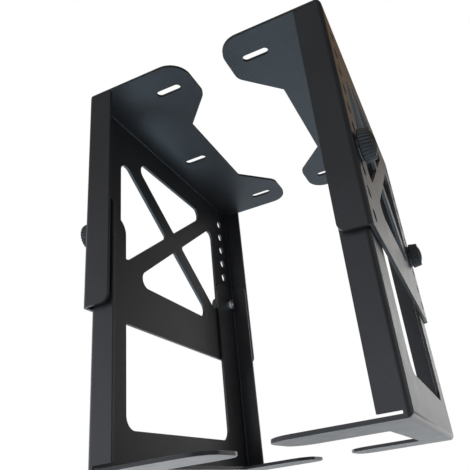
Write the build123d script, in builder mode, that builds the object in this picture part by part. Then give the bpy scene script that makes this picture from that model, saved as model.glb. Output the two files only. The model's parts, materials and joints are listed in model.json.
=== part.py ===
"""Computer holder that screws under a desk: two facing brackets of folded steel sheet.

Each side has an upper bracket, which is screwed to the desk, and a lower bracket, which
slides up and down inside it and carries the computer on two prongs. Two thumbscrews per
side pass through one of ten holes in the upper bracket into nuts pressed into the lower.

Millimetres. X runs across, from the left bracket to the right one, Y from front to rear,
Z up. The origin is in the plane of the desk, at the centre of the four ear slots.
Everything is modelled on the left; the right side is the left one turned half a turn.
"""

import os

from build123d import *

# Sheet metal, the same in both brackets
sheet = 3.0
inner_bend = 1.5
upper_slit = 0.4
lower_slit = 2.1
outer_bend = inner_bend + sheet

# Upper bracket: web, top flange with two ears, front and rear flanges
holder_width = 242.0
upper_depth = 285.0
upper_height = 221.0
upper_flange = 25.0
ear_reach = 102.0
ear_length = 48.0
neck_reach = 67.0
neck_start = 85.0
ear_corner_radius = 21.0
ear_slant_radius = 14.0
neck_radius = 3.0
flange_corner_radius = 7.0

# Desk screw slots, which run across
slot_width = 8.0
slot_length = 26.0
ear_slot_from_web = 73.5
ear_slot_from_edge = 28.5
neck_slot_from_web = 38.0

# Crossed straps in the upper web
upper_strip = 46.5
truss_top = 31.0
upper_crossbar = 44.0
strap_width = 18.7
strap_slope = 37.8
truss_corner_radius = 9.0
truss_centre_radius = 3.0

# Height holes in the upper web, one row near each flange
hole_clearance = 1.25
hole_pitch = 20.0
hole_count = 10
hole_inset = 21.0
first_hole = 25.5
pitches_above_screw = 6

# Lower bracket: web with a large opening, bottom plate with two prongs
web_gap = 0.5
flange_gap = 3.5
lower_height = 226.0
lower_flange = 22.0
lower_strip = 43.5
lower_crossbar = 33.0
screw_below_top = 25.5
prong_reach = 97.5
prong_width = 62.5
middle_strip = 27.0
prong_corner_radius = 20.0
notch_radius = 3.0
opening_radius = 12.0
strip_top_radius = 15.0

# Thumbscrew: M8 stud in a ribbed plastic knob, on a plain washer
stud_radius = 4.0
stud_grip = 8.0
stud_overrun = 1.0
stud_chamfer = 0.8
knob_radius = 14.0
knob_face_radius = 12.9
knob_rim = 9.5
knob_height = 12.0
knob_chamfer = 0.6
dome_radius = 10.0
groove_count = 28
groove_radius = 1.0
washer_radius = 12.0
washer_thickness = 2.0
washer_chamfer = 0.4
washer_clearance = 0.2

# Clinch nut, pressed into the lower web from the inside
nut_radius = 6.35
nut_body = 5.5
nut_shank_wall = 1.2
nut_shank_recess = 0.4
nut_chamfer = 0.5
thread_clearance = 0.05

# Places that follow from the sizes
upper_x = -holder_width / 2
upper_front = -upper_depth / 2
lower_x = upper_x + sheet + web_gap
lower_depth = upper_depth - 2 * (sheet + flange_gap)
screw_y = upper_front + hole_inset
screw_z = -first_hole - pitches_above_screw * hole_pitch
lower_top = screw_z + screw_below_top
lower_bottom = lower_top - lower_height
head_x = upper_x - washer_thickness
nut_seat_x = lower_x + sheet
nut_bore_radius = stud_radius + thread_clearance
nut_shank_radius = nut_bore_radius + nut_shank_wall
nut_shank = sheet - nut_shank_recess
stud_tip_x = nut_seat_x + nut_body + stud_overrun
outward = (-1, 0, 0)
screw_axis = Axis((0, screw_y, screw_z), outward)
margin = outer_bend  # how far a cut runs clear of the metal

half_turn = Location((0, 0, 0), (0, 0, 180))
to_rear = Location((0, -2 * screw_y, 0))


def cut_box(start_x, end_x, depth, low_z, high_z):
    """Cut away a box that is centred between front and rear."""
    with Locations(((start_x + end_x) / 2, 0, (low_z + high_z) / 2)):
        Box(end_x - start_x, depth, high_z - low_z, mode=Mode.SUBTRACT)


def export_node(part, node):
    part.label = node
    export_step(part, f"parts/{node}.step")


def export_sides(part, name):
    """Write a bracket as the left piece and, turned half a turn, as the right one."""
    export_node(part, f"left_{name}")
    export_node(half_turn * part, f"right_{name}")


def export_screw_places(part, name):
    """Write a piece of the left front thumbscrew for all four thumbscrews."""
    export_node(part, f"left_front_{name}")
    export_node(to_rear * part, f"left_rear_{name}")
    export_node(half_turn * to_rear * part, f"right_front_{name}")
    export_node(half_turn * part, f"right_rear_{name}")


os.makedirs("parts", exist_ok=True)

with BuildPart() as upper_bracket:
    # Folded tray, open below and towards the computer
    with BuildSketch(Plane.XY.offset(-upper_height)):
        with Locations((upper_x, 0)):
            Rectangle(ear_reach, upper_depth, align=(Align.MIN, Align.CENTER))
    extrude(amount=upper_height)
    web_edges = upper_bracket.faces().sort_by(Axis.X)[0].edges()
    fillet(web_edges.filter_by(Axis.Z) + web_edges.sort_by(Axis.Z)[-1:], outer_bend)
    open_faces = upper_bracket.faces().sort_by(Axis.Z)[:1] + upper_bracket.faces().sort_by(Axis.X)[-1:]
    offset(amount=-sheet, openings=open_faces)

    # The side flanges are narrow, and a slit parts them from the top flange
    across = upper_depth + 2 * margin
    free_x = upper_x + ear_reach
    cut_box(upper_x + upper_flange, free_x + margin, across, -upper_height - margin, -sheet)
    cut_box(upper_x + outer_bend + inner_bend, free_x, across, -sheet - upper_slit, -sheet)
    lowest_edges = upper_bracket.edges().filter_by(Axis.Y).group_by(Axis.Z)[0]
    fillet(lowest_edges.group_by(Axis.X)[-1], flange_corner_radius)

    # Outline of the top flange: an ear at each end and a narrower neck between them
    ear_y = upper_front + ear_length
    neck_y = upper_front + neck_start
    neck_x = upper_x + neck_reach
    with BuildSketch(Plane.XY.offset(-upper_height)):
        with BuildLine():
            FilletPolyline(
                (upper_x, upper_front),
                (free_x, upper_front),
                (free_x, ear_y),
                (neck_x, neck_y),
                (neck_x, -neck_y),
                (free_x, -ear_y),
                (free_x, -upper_front),
                (upper_x, -upper_front),
                radius=[
                    0,
                    ear_corner_radius,
                    ear_slant_radius,
                    neck_radius,
                    neck_radius,
                    ear_slant_radius,
                    ear_corner_radius,
                    0,
                ],
                close=True,
            )
        make_face()
    extrude(amount=upper_height, mode=Mode.INTERSECT)

    # Slots for the desk screws
    with BuildSketch(Plane.XY.offset(-sheet)):
        with Locations((upper_x + ear_slot_from_web, 0)):
            with GridLocations(1, upper_depth - 2 * ear_slot_from_edge, 1, 2):
                SlotOverall(slot_length, slot_width)
        with Locations((upper_x + neck_slot_from_web, 0)):
            SlotOverall(slot_length, slot_width)
    extrude(amount=sheet, mode=Mode.SUBTRACT)

    # Four openings that leave two crossed straps
    truss_width = upper_depth - 2 * upper_strip
    truss_height = upper_height - upper_crossbar - truss_top
    crossing = (0, -truss_top - truss_height / 2)
    with BuildSketch(Plane.YZ.offset(upper_x)) as truss:
        with Locations(crossing):
            Rectangle(truss_width, truss_height)
            for slope in (strap_slope, -strap_slope):
                Rectangle(2 * truss_width, strap_width, rotation=slope, mode=Mode.SUBTRACT)
        fillet(truss.vertices().sort_by_distance(crossing)[4:], truss_corner_radius)
        fillet(truss.vertices().sort_by_distance(crossing)[:4], truss_centre_radius)
    extrude(amount=sheet, mode=Mode.SUBTRACT)

    # Two rows of height holes
    with BuildSketch(Plane.YZ.offset(upper_x)):
        with Locations((0, -first_hole - (hole_count - 1) * hole_pitch / 2)):
            with GridLocations(-2 * screw_y, hole_pitch, 2, hole_count):
                Circle(stud_radius + hole_clearance)
    extrude(amount=sheet, mode=Mode.SUBTRACT)
export_sides(upper_bracket.part, "upper_bracket")

with BuildPart() as lower_bracket:
    # Folded tray, open above and towards the computer
    with BuildSketch(Plane.XY.offset(lower_bottom)):
        with Locations((lower_x, 0)):
            Rectangle(prong_reach, lower_depth, align=(Align.MIN, Align.CENTER))
    extrude(amount=lower_height)
    web_edges = lower_bracket.faces().sort_by(Axis.X)[0].edges()
    fillet(web_edges.filter_by(Axis.Z) + web_edges.sort_by(Axis.Z)[:1], outer_bend)
    open_faces = lower_bracket.faces().sort_by(Axis.Z)[-1:] + lower_bracket.faces().sort_by(Axis.X)[-1:]
    offset(amount=-sheet, openings=open_faces)

    # The side flanges are narrow, and a slit parts them from the bottom plate
    across = lower_depth + 2 * margin
    prong_x = lower_x + prong_reach
    floor_z = lower_bottom + sheet
    cut_box(lower_x + lower_flange, prong_x + margin, across, floor_z, lower_top + margin)
    cut_box(lower_x + outer_bend + inner_bend, prong_x, across, floor_z, floor_z + lower_slit)
    highest_edges = lower_bracket.edges().filter_by(Axis.Y).group_by(Axis.Z)[-1]
    fillet(highest_edges.group_by(Axis.X)[-1], flange_corner_radius)

    # Prongs with rounded tips and the notch between them
    notch_width = lower_depth - 2 * prong_width
    with BuildSketch(Plane.XY.offset(lower_bottom)) as notch:
        with Locations((lower_x + middle_strip, 0)):
            Rectangle(prong_reach, notch_width, align=(Align.MIN, Align.CENTER))
        fillet(notch.vertices().group_by(Axis.X)[0], notch_radius)
    extrude(amount=sheet, mode=Mode.SUBTRACT)
    tip_edges = lower_bracket.edges().filter_by(Axis.Z).group_by(Axis.X)[-1]
    fillet(tip_edges, prong_corner_radius)

    # Opening in the web, open at the top
    opening_width = lower_depth - 2 * lower_strip
    with BuildSketch(Plane.YZ.offset(lower_x)) as opening:
        with Locations((0, lower_bottom + lower_crossbar)):
            Rectangle(opening_width, lower_height, align=(Align.CENTER, Align.MIN))
        fillet(opening.vertices().group_by(Axis.Y)[0], opening_radius)
    extrude(amount=sheet, mode=Mode.SUBTRACT)
    strip_tops = lower_bracket.edges().filter_by(Axis.X).group_by(Axis.Z)[-1]
    fillet(strip_tops.sort_by(lambda e: abs(e.center().Y))[:2], strip_top_radius)

    # Seats for the clinch nuts
    with BuildSketch(Plane.YZ.offset(lower_x)):
        with Locations((screw_y, screw_z), (-screw_y, screw_z)):
            Circle(nut_shank_radius)
    extrude(amount=sheet, mode=Mode.SUBTRACT)
export_sides(lower_bracket.part, "lower_bracket")

with BuildPart() as knob:
    with BuildSketch(Plane((head_x, screw_y, screw_z), x_dir=outward, z_dir=(0, 0, -1))):
        with BuildLine():
            Polyline(
                (knob_height, 0),
                (0, 0),
                (0, knob_radius - knob_chamfer),
                (knob_chamfer, knob_radius),
                (knob_rim - knob_chamfer, knob_face_radius),
                (knob_rim, knob_face_radius - knob_chamfer),
                (knob_rim, dome_radius),
            )
            TangentArc((knob_height, 0), (knob_rim, dome_radius), tangent=(0, 1))
        make_face()
    revolve(axis=screw_axis)
    with BuildSketch(Plane((head_x, screw_y, screw_z), z_dir=outward)):
        with PolarLocations((knob_radius + knob_face_radius) / 2, groove_count):
            Circle(groove_radius)
    extrude(amount=knob_rim, mode=Mode.SUBTRACT)
    with BuildSketch(Plane((head_x, screw_y, screw_z), z_dir=outward)):
        Circle(stud_radius)
    extrude(amount=stud_grip, mode=Mode.SUBTRACT)
export_screw_places(knob.part, "knob")

with BuildPart() as stud:
    with BuildSketch(Plane((stud_tip_x, screw_y, screw_z), z_dir=outward)):
        Circle(stud_radius)
    extrude(amount=stud_tip_x - head_x + stud_grip)
    chamfer(stud.faces().sort_by(Axis.X)[-1].edges(), stud_chamfer)
export_screw_places(stud.part, "stud")

with BuildPart() as washer:
    with BuildSketch(Plane((upper_x, screw_y, screw_z), z_dir=outward)):
        Circle(washer_radius)
        Circle(stud_radius + washer_clearance, mode=Mode.SUBTRACT)
    extrude(amount=washer_thickness)
    outer_edges = washer.edges().filter_by(GeomType.CIRCLE).group_by(SortBy.RADIUS)[-1]
    chamfer(outer_edges.sort_by(Axis.X)[0], washer_chamfer)
export_screw_places(washer.part, "washer")

with BuildPart() as clinch_nut:
    with BuildSketch(Plane((nut_seat_x, screw_y, screw_z), z_dir=outward)):
        Circle(nut_shank_radius)
    extrude(amount=nut_shank)
    with BuildSketch(Plane((nut_seat_x, screw_y, screw_z), z_dir=outward)):
        Circle(nut_radius)
    extrude(amount=-nut_body)
    chamfer(clinch_nut.faces().sort_by(Axis.X)[-1].edges(), nut_chamfer)
    with BuildSketch(Plane((nut_seat_x + nut_body, screw_y, screw_z), z_dir=outward)):
        Circle(nut_bore_radius)
    extrude(amount=nut_body + nut_shank, mode=Mode.SUBTRACT)
export_screw_places(clinch_nut.part, "clinch_nut")
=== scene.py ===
"""Looks for the under-desk computer holder: powder coat, thumbscrews, studs and nuts.

Metres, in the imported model's frame: X across, Y to the rear, Z up, desk plane at Z = 0.
"""

import json
import math

import bmesh
import bpy
from mathutils import Matrix, Vector


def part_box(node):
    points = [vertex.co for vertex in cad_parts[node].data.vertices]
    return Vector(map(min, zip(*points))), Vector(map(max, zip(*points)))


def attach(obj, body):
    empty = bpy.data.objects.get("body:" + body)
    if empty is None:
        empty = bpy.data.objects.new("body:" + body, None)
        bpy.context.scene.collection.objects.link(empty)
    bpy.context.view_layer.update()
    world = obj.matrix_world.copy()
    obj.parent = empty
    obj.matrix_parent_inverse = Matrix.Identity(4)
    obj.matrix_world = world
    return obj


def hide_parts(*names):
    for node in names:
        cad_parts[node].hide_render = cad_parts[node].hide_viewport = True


MM = 0.001

EDGE_RADIUS = 0.35 * MM

KNOB_BACK_RADIUS = 13.95 * MM
KNOB_FACE_RADIUS = 12.85 * MM
KNOB_RIM = 9.5 * MM
KNOB_DOME_RADIUS = 10.0 * MM
KNOB_RIBS = 28
RIB_DEPTH = 0.85 * MM

STUD_RADIUS = 4.0 * MM
THREAD_PITCH = 1.25 * MM
THREAD_DEPTH = 0.62 * MM
STUD_TIP = 0.8 * MM
STUD_SEAT_CLEARANCE = 0.05 * MM

WASHER_RADIUS = 12.0 * MM
WASHER_BORE = 4.2 * MM

NUT_RADIUS = 6.35 * MM
NUT_BODY = 5.5 * MM
NUT_SHANK_RADIUS = 5.2 * MM
NUT_BORE = 4.06 * MM
NUT_TEETH = 40
TOOTH_DEPTH = 0.22 * MM

FLOOR_HEIGHT = -0.75

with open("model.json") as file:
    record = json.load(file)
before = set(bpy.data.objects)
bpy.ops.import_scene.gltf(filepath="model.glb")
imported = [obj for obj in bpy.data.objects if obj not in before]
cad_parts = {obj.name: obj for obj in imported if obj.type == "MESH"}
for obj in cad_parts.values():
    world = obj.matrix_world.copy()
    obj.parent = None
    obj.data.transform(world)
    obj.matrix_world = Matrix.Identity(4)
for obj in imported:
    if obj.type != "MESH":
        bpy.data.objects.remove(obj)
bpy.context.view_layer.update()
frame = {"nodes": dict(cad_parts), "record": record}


# ---------------------------------------------------------------- materials


def new_material(name):
    material = bpy.data.materials.new(name)
    material.use_nodes = True
    tree = material.node_tree
    return material, tree, tree.nodes["Principled BSDF"]


def node(tree, kind, inputs=None, **settings):
    made = tree.nodes.new(kind)
    for key, value in settings.items():
        setattr(made, key, value)
    for key, value in (inputs or {}).items():
        if isinstance(value, bpy.types.NodeSocket):
            tree.links.new(value, made.inputs[key])
        else:
            made.inputs[key].default_value = value
    return made


def noise(tree, scale, detail=3.0, roughness=0.5):
    place = node(tree, "ShaderNodeTexCoord").outputs["Object"]
    return node(
        tree,
        "ShaderNodeTexNoise",
        {"Vector": place, "Scale": scale, "Detail": detail, "Roughness": roughness},
    ).outputs["Fac"]


def ramp(tree, factor, stops):
    made = node(tree, "ShaderNodeValToRGB", {"Fac": factor})
    elements = made.color_ramp.elements
    while len(elements) < len(stops):
        elements.new(0.5)
    for element, (position, colour) in zip(elements, stops):
        element.position = position
        element.color = (*colour, 1.0) if len(colour) == 3 else (colour[0],) * 3 + (1.0,)
    return made.outputs["Color"]


def spread(tree, factor, low, high):
    return node(
        tree, "ShaderNodeMapRange", {"Value": factor, "To Min": low, "To Max": high}
    ).outputs["Result"]


def bump(tree, height, strength, distance, normal=None):
    inputs = {"Height": height, "Strength": strength, "Distance": distance}
    if normal is not None:
        inputs["Normal"] = normal
    return node(tree, "ShaderNodeBump", inputs).outputs["Normal"]


def powder_coat():
    """Black powder coat: fine orange peel, faint handling marks, tone that varies in patches."""
    material, tree, shader = new_material("powder_coat")
    peel = noise(tree, 620.0, 2.0, 0.45)
    grain = noise(tree, 2600.0, 2.0, 0.5)
    patches = noise(tree, 14.0, 4.0, 0.6)
    marks = noise(tree, 60.0, 5.0, 0.65)
    tint = ramp(tree, patches, [(0.3, (0.016, 0.0165, 0.018)), (0.7, (0.024, 0.0245, 0.027))])
    # fine specks added lighter to the base colour: painted glints of the coat
    painted_glints = ramp(tree, grain, [(0.62, (0.0,)), (0.78, (0.03,))])
    colour = node(
        tree,
        "ShaderNodeMix",
        data_type="RGBA",
        blend_type="ADD",
    )
    colour.inputs["Factor"].default_value = 1.0
    tree.links.new(tint, colour.inputs[6])
    tree.links.new(painted_glints, colour.inputs[7])
    tree.links.new(colour.outputs[2], shader.inputs["Base Color"])
    rough = spread(tree, marks, 0.34, 0.46)
    tree.links.new(rough, shader.inputs["Roughness"])
    shader.inputs["IOR"].default_value = 1.5
    relief = bump(tree, peel, 0.22, 0.0004)
    relief = bump(tree, grain, 0.10, 0.0001, relief)
    tree.links.new(relief, shader.inputs["Normal"])
    return material


def knob_plastic():
    """Moulded black plastic with a fine matt texture."""
    material, tree, shader = new_material("knob_plastic")
    grain = noise(tree, 4200.0, 2.0, 0.5)
    patches = noise(tree, 90.0, 4.0, 0.6)
    tint = ramp(tree, patches, [(0.3, (0.012, 0.012, 0.0125)), (0.7, (0.02, 0.02, 0.0205))])
    tree.links.new(tint, shader.inputs["Base Color"])
    tree.links.new(spread(tree, patches, 0.42, 0.56), shader.inputs["Roughness"])
    tree.links.new(bump(tree, grain, 0.3, 0.00008), shader.inputs["Normal"])
    return material


def zinc_steel():
    """Zinc plated steel: faint bluish cast, fine turning lines round the screw's axis."""
    material, tree, shader = new_material("zinc_steel")
    place = node(tree, "ShaderNodeTexCoord").outputs["Object"]
    lines = node(
        tree,
        "ShaderNodeTexWave",
        {"Vector": place, "Scale": 900.0, "Distortion": 1.5, "Detail": 2.0},
        wave_type="BANDS",
        bands_direction="X",
    ).outputs["Fac"]
    blotch = noise(tree, 260.0, 4.0, 0.6)
    tint = ramp(tree, blotch, [(0.3, (0.52, 0.54, 0.57)), (0.7, (0.68, 0.68, 0.67))])
    tree.links.new(tint, shader.inputs["Base Color"])
    shader.inputs["Metallic"].default_value = 1.0
    tree.links.new(spread(tree, blotch, 0.22, 0.38), shader.inputs["Roughness"])
    tree.links.new(bump(tree, lines, 0.12, 0.00004), shader.inputs["Normal"])
    return material


def black_zinc():
    """Black passivated steel of the washers."""
    material, tree, shader = new_material("black_zinc")
    blotch = noise(tree, 320.0, 4.0, 0.6)
    grain = noise(tree, 3000.0, 2.0, 0.5)
    tint = ramp(tree, blotch, [(0.3, (0.02, 0.02, 0.021)), (0.7, (0.04, 0.039, 0.037))])
    tree.links.new(tint, shader.inputs["Base Color"])
    shader.inputs["Metallic"].default_value = 0.35
    tree.links.new(spread(tree, blotch, 0.3, 0.45), shader.inputs["Roughness"])
    tree.links.new(bump(tree, grain, 0.15, 0.00005), shader.inputs["Normal"])
    return material


MATERIALS = {
    "powder_coat": powder_coat(),
    "knob_plastic": knob_plastic(),
    "zinc_steel": zinc_steel(),
    "black_washer": black_zinc(),
}


# ---------------------------------------------------------------- pieces


def piece(name, mesh, slot, body, stands_for):
    made = bpy.data.objects.new(name, mesh)
    bpy.context.scene.collection.objects.link(made)
    mesh.materials.append(MATERIALS[slot])
    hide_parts(stands_for)
    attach(made, body)
    return made


def finish_mesh(work, name, smooth_angle=35.0):
    """Turn a bmesh into a mesh, smooth everywhere except across edges sharper than the angle."""
    bmesh.ops.recalc_face_normals(work, faces=work.faces)
    for face in work.faces:
        face.smooth = True
    for edge in work.edges:
        if len(edge.link_faces) == 2:
            edge.smooth = edge.calc_face_angle() < math.radians(smooth_angle)
    mesh = bpy.data.meshes.new(name)
    work.to_mesh(mesh)
    work.free()
    return mesh


def rings_to_mesh(name, rings, smooth_angle):
    """Skin a list of rings of points, each ring closed on itself, and cap both ends."""
    work = bmesh.new()
    loops = [[work.verts.new(p) for p in ring] for ring in rings]
    for ring_a, ring_b in zip(loops, loops[1:]):
        count = len(ring_a)
        for i in range(count):
            work.faces.new((ring_a[i], ring_a[(i + 1) % count], ring_b[(i + 1) % count], ring_b[i]))
    work.faces.new(loops[0][::-1])
    work.faces.new(loops[-1])
    return finish_mesh(work, name, smooth_angle)


def sheet_metal(cad_node):
    """The CAD bracket with a small radius on every sheared edge."""
    source = frame["nodes"][cad_node].data
    work = bmesh.new()
    work.from_mesh(source)
    bmesh.ops.remove_doubles(work, verts=work.verts, dist=2e-6)
    bmesh.ops.dissolve_limit(
        work, angle_limit=math.radians(0.5), verts=work.verts, edges=work.edges
    )
    sharp = [
        e for e in work.edges if len(e.link_faces) == 2 and e.calc_face_angle() > math.radians(40)
    ]
    bmesh.ops.bevel(
        work,
        geom=sharp,
        offset=EDGE_RADIUS,
        offset_type="OFFSET",
        segments=2,
        profile=0.5,
        affect="EDGES",
        clamp_overlap=True,
    )
    return finish_mesh(work, cad_node + "_sheet", 28.0)


BODY_OF = {n: b for b, nodes in frame["record"]["behaviour"]["bodies"].items() for n in nodes}

for side in ("left", "right"):
    for level in ("upper", "lower"):
        name = f"{side}_{level}_bracket"
        bracket = piece(
            name + "_coated", sheet_metal(name), "powder_coat", BODY_OF[name], name
        )
        flatten = bracket.modifiers.new("flat_faces", "WEIGHTED_NORMAL")
        flatten.mode = "FACE_AREA_WITH_ANGLE"
        flatten.weight = 100
        flatten.keep_sharp = True

# ---------------------------------------------------------------- thumbscrews


def polar(axis_point, outward, along, radius, angle):
    """A point at a distance along and away from a screw's axis, which runs along X."""
    return Vector(
        (
            axis_point.x + outward * along,
            axis_point.y + radius * math.cos(angle),
            axis_point.z + radius * math.sin(angle),
        )
    )


def knob_mesh(seat, outward, back, face, rim, dome, height):
    """Ribbed rim that narrows from back to face, flat ring and shallow dome."""
    steps = 12
    count = KNOB_RIBS * steps

    def ring(along, size, depth):
        points = []
        for i in range(count):
            phase = (i % steps) / steps
            wave = 0.5 - 0.5 * math.cos(2 * math.pi * phase)
            flat = min(1.0, wave * 1.55)
            points.append(
                polar(seat, outward, along, size - depth * (1.0 - flat), 2 * math.pi * i / count)
            )
        return points

    shape = [
        (0.0, 4.05 * MM, 0.0),
        (0.0, back - 1.9 * MM, 0.0),
        (0.0, back - 1.0 * MM, 0.0),
        (0.15 * MM, back - 0.45 * MM, 0.45),
        (0.6 * MM, back, 1.0),
        (rim - 0.6 * MM, face, 1.0),
        (rim - 0.2 * MM, face - 0.2 * MM, 0.9),
        (rim, face - 0.7 * MM, 0.3),
        (rim, face - 1.2 * MM, 0.0),
        (rim, dome + 0.35 * MM, 0.0),
        (rim - 0.25 * MM, dome + 0.15 * MM, 0.0),
        (rim - 0.25 * MM, dome + 0.02 * MM, 0.0),
    ]
    rings = [ring(a, r, RIB_DEPTH * d) for a, r, d in shape]
    sagitta = height - rim
    ball = (dome**2 + sagitta**2) / (2 * sagitta)
    for k in range(0, 13):
        size = dome * math.cos(math.pi / 2 * k / 13)
        along = rim + math.sqrt(ball**2 - size**2) - (ball - sagitta)
        rings.append(ring(along, size, 0.0))
    return rings


def stud_mesh(name, seat, outward, radius, low, high, pitch):
    """Threaded rod from depth low to high, measured outward from the knob's seat."""
    turns_points, per_pitch = 48, 8
    rings = []
    length = high - low
    steps = int(length / pitch * per_pitch)
    for k in range(steps + 1):
        along = low + length * k / steps
        ring = []
        for i in range(turns_points):
            angle = 2 * math.pi * i / turns_points
            phase = (along / pitch + i / turns_points) % 1.0
            crest = min(1.0, max(0.0, 2.6 * abs(phase - 0.5) - 0.15))
            tip = min(1.0, (along - low) / STUD_TIP)
            size = min(radius - THREAD_DEPTH * (1.0 - crest), radius - STUD_TIP * (1.0 - tip))
            ring.append(polar(seat, outward, along, size, angle))
        rings.append(ring)
    return rings_to_mesh(name, rings, smooth_angle=50.0)


def turned_mesh(name, seat, outward, profile, count=96, knurl=None, smooth_angle=35.0):
    """Revolve a closed profile of (along, radius); knurl gives (first, last, teeth, depth)."""
    work = bmesh.new()
    loops = []
    for k, (along, radius) in enumerate(profile):
        loop = []
        for i in range(count):
            size = radius
            if knurl and knurl[0] <= k <= knurl[1]:
                phase = (i * knurl[2] / count) % 1.0
                size -= knurl[3] * abs(2.0 * phase - 1.0)
            loop.append(work.verts.new(polar(seat, outward, along, size, 2 * math.pi * i / count)))
        loops.append(loop)
    for loop_a, loop_b in zip(loops, loops[1:] + loops[:1]):
        for i in range(count):
            j = (i + 1) % count
            work.faces.new((loop_a[i], loop_a[j], loop_b[j], loop_b[i]))
    return finish_mesh(work, name, smooth_angle)


for side, outward in (("left", -1), ("right", 1)):
    for end in ("front", "rear"):
        place = f"{side}_{end}"
        low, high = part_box(f"{place}_knob")
        seat_x = high.x if outward < 0 else low.x
        seat = Vector((seat_x, (low.y + high.y) / 2, (low.z + high.z) / 2))
        knob_height = high.x - low.x
        screw_body = BODY_OF[f"{place}_knob"]
        lower_body = BODY_OF[f"{place}_clinch_nut"]

        rings = knob_mesh(
            seat,
            outward,
            KNOB_BACK_RADIUS,
            KNOB_FACE_RADIUS,
            KNOB_RIM,
            KNOB_DOME_RADIUS,
            knob_height,
        )
        knob = rings_to_mesh(f"{place}_knob_moulded", rings, 40.0)
        piece(f"{place}_knob_ribbed", knob, "knob_plastic", screw_body, f"{place}_knob")

        low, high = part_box(f"{place}_stud")
        depth = (seat_x - high.x) if outward < 0 else (low.x - seat_x)
        stud = stud_mesh(
            f"{place}_stud_thread",
            seat,
            outward,
            STUD_RADIUS,
            depth,
            -STUD_SEAT_CLEARANCE,
            THREAD_PITCH,
        )
        piece(f"{place}_stud_threaded", stud, "zinc_steel", screw_body, f"{place}_stud")

        low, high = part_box(f"{place}_washer")
        thick = high.x - low.x
        ring_profile = [
            (-thick, WASHER_BORE),
            (-thick, WASHER_RADIUS - 0.3 * MM),
            (-thick + 0.3 * MM, WASHER_RADIUS),
            (-0.45 * MM, WASHER_RADIUS),
            (-0.12 * MM, WASHER_RADIUS - 0.15 * MM),
            (0.0, WASHER_RADIUS - 0.45 * MM),
            (0.0, WASHER_BORE + 0.3 * MM),
            (-0.3 * MM, WASHER_BORE),
        ]
        washer = turned_mesh(f"{place}_washer_turned", seat, outward, ring_profile)
        piece(
            f"{place}_washer_plain",
            washer,
            "black_washer",
            BODY_OF[f"{place}_washer"],
            f"{place}_washer",
        )

        low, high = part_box(f"{place}_clinch_nut")
        back = (seat_x - high.x) if outward < 0 else (low.x - seat_x)
        front = (seat_x - low.x) if outward < 0 else (high.x - seat_x)
        shoulder = back + NUT_BODY
        nut_profile = [
            (back, 4.55 * MM),
            (back, 5.7 * MM),
            (back + 0.25 * MM, NUT_RADIUS - 0.25 * MM),
            (back + 0.6 * MM, NUT_RADIUS),
            (shoulder - 0.5 * MM, NUT_RADIUS),
            (shoulder, NUT_RADIUS - 0.15 * MM),
            (shoulder, NUT_SHANK_RADIUS),
            (front, NUT_SHANK_RADIUS),
            (front, NUT_BORE),
            (back + 0.5 * MM, NUT_BORE),
        ]
        nut = turned_mesh(
            f"{place}_clinch_nut_turned",
            seat,
            outward,
            nut_profile,
            count=240,
            knurl=(3, 4, NUT_TEETH, TOOTH_DEPTH),
        )
        piece(f"{place}_clinch_nut_knurled", nut, "zinc_steel", lower_body, f"{place}_clinch_nut")

# ---------------------------------------------------------------- stage


def pale_floor():
    """Matt pale grey with a little light of its own, as a lit studio floor."""
    material, tree, shader = new_material("pale_floor")
    shader.inputs["Base Color"].default_value = (0.8, 0.8, 0.8, 1.0)
    shader.inputs["Roughness"].default_value = 0.6
    shader.inputs["Emission Color"].default_value = (0.94, 0.96, 1.0, 1.0)
    shader.inputs["Emission Strength"].default_value = 0.42
    return material


bpy.ops.mesh.primitive_plane_add(size=12.0, location=(0, 0, FLOOR_HEIGHT))
floor = bpy.context.object
floor.name = "floor"
floor.data.materials.append(pale_floor())
floor.visible_glossy = False

bpy.ops.mesh.primitive_uv_sphere_add(radius=9.0, segments=48, ring_count=24)
backdrop = bpy.context.object
backdrop.name = "backdrop"
glow = bpy.data.materials.new("white_backdrop")
glow.use_nodes = True
glow.node_tree.nodes.clear()
emission = node(glow.node_tree, "ShaderNodeEmission", {"Strength": 1.0, "Color": (1, 1, 1, 1)})
node(glow.node_tree, "ShaderNodeOutputMaterial", {"Surface": emission.outputs[0]})
backdrop.data.materials.append(glow)
backdrop.visible_diffuse = False
backdrop.visible_glossy = False
backdrop.visible_transmission = False
backdrop.visible_shadow = False

world = bpy.data.worlds.new("studio")
bpy.context.scene.world = world
world.use_nodes = True
tree = world.node_tree
direction = node(tree, "ShaderNodeTexCoord").outputs["Generated"]
split = node(tree, "ShaderNodeSeparateXYZ", {"Vector": direction})


def along(axis, stops):
    """A colour ramp over one component of the direction, which runs from -1 to 1."""
    part = split.outputs[axis]
    place = node(tree, "ShaderNodeMapRange", {"Value": part, "From Min": -1.0, "From Max": 1.0})
    return ramp(tree, place.outputs["Result"], [((v + 1.0) / 2.0, c) for v, c in stops])


def times(first, second):
    mixed = node(tree, "ShaderNodeMix", data_type="RGBA", blend_type="MULTIPLY")
    mixed.inputs["Factor"].default_value = 1.0
    tree.links.new(first, mixed.inputs[6])
    tree.links.new(second, mixed.inputs[7])
    return mixed.outputs[2]


def blend(first, second, factor):
    mixed = node(tree, "ShaderNodeMix", data_type="RGBA")
    tree.links.new(factor, mixed.inputs["Factor"])
    tree.links.new(first, mixed.inputs[6])
    tree.links.new(second, mixed.inputs[7])
    return mixed.outputs[2]


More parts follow.
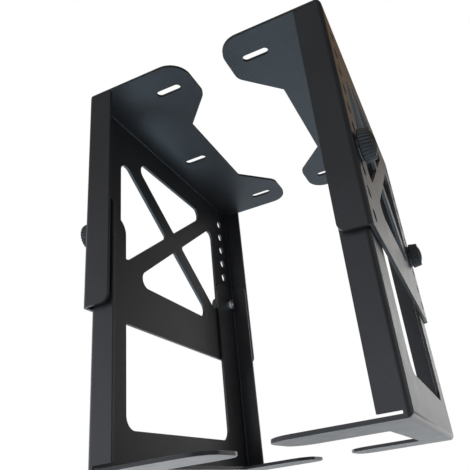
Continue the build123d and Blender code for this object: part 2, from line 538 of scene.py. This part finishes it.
below = (0.66, 0.88, 1.06)
from_below = [(-1.0, below), (-0.68, below), (-0.54, (0.03, 0.03, 0.033)), (-0.38, (0.05,))]
front_heights = along(
    "Z",
    from_below
    + [
        (-0.24, (0.24, 0.25, 0.28)),
        (-0.08, (0.54, 0.57, 0.63)),
        (0.15, (0.40, 0.42, 0.46)),
        (0.38, (0.25, 0.25, 0.26)),
        (0.55, (0.05,)),
        (0.70, (0.03,)),
        (0.86, (0.03,)),
        (0.97, (0.25,)),
    ],
)
rear_heights = along(
    "Z",
    from_below
    + [
        (-0.24, (0.34,)),
        (-0.10, (0.82,)),
        (0.08, (0.62,)),
        (0.25, (0.84,)),
        (0.38, (0.60, 0.59, 0.58)),
        (0.55, (0.15, 0.13, 0.11)),
        (0.70, (0.17, 0.11, 0.06)),
        (0.86, (0.12, 0.08, 0.05)),
        (0.97, (0.25,)),
    ],
)
right_end = [(0.42, (0.10,)), (0.80, (0.10,)), (0.95, (0.55,)), (1.0, (0.55,))]
front_sides = along("X", [(-1.0, (1.0,)), (0.15, (1.0,))] + right_end)
rear_sides = along(
    "X",
    [
        (-1.0, (1.15,)),
        (-0.50, (1.15,)),
        (-0.34, (0.70,)),
        (-0.14, (0.80,)),
        (0.04, (1.05,)),
        (0.18, (1.1,)),
    ]
    + right_end,
)
to_rear = along("Y", [(-1.0, (0.0,)), (-0.1, (0.0,)), (0.4, (1.0,)), (1.0, (1.0,))])
sky = blend(times(front_heights, front_sides), times(rear_heights, rear_sides), to_rear)
background = tree.nodes["Background"]
tree.links.new(sky, background.inputs["Color"])
background.inputs["Strength"].default_value = 3.0

# ---------------------------------------------------------------- camera

FOCAL_PX, CENTRE_X, CENTRE_Y, IMAGE = 522.5, 274.9, 245.0, 470.0
camera_data = bpy.data.cameras.new("camera")
camera = bpy.data.objects.new("camera", camera_data)
bpy.context.scene.collection.objects.link(camera)
bpy.context.scene.camera = camera
camera_data.sensor_width = 36.0
camera_data.lens = FOCAL_PX / IMAGE * 36.0
camera_data.shift_x = (IMAGE / 2 - CENTRE_X) / IMAGE
camera_data.shift_y = (CENTRE_Y - IMAGE / 2) / IMAGE
right = Vector((0.91694, 0.37862, -0.12596))
down = Vector((-0.27288, 0.36469, -0.89024))
ahead = right.cross(down).normalized()
down = ahead.cross(right).normalized()
camera.matrix_world = Matrix.Translation((0.15846, -0.45998, -0.37963)) @ Matrix(
    (
        (right.x, -down.x, -ahead.x),
        (right.y, -down.y, -ahead.y),
        (right.z, -down.z, -ahead.z),
    )
).to_4x4()
camera_data.clip_start = 0.01
camera_data.clip_end = 50.0

bpy.context.scene.view_settings.view_transform = "Standard"
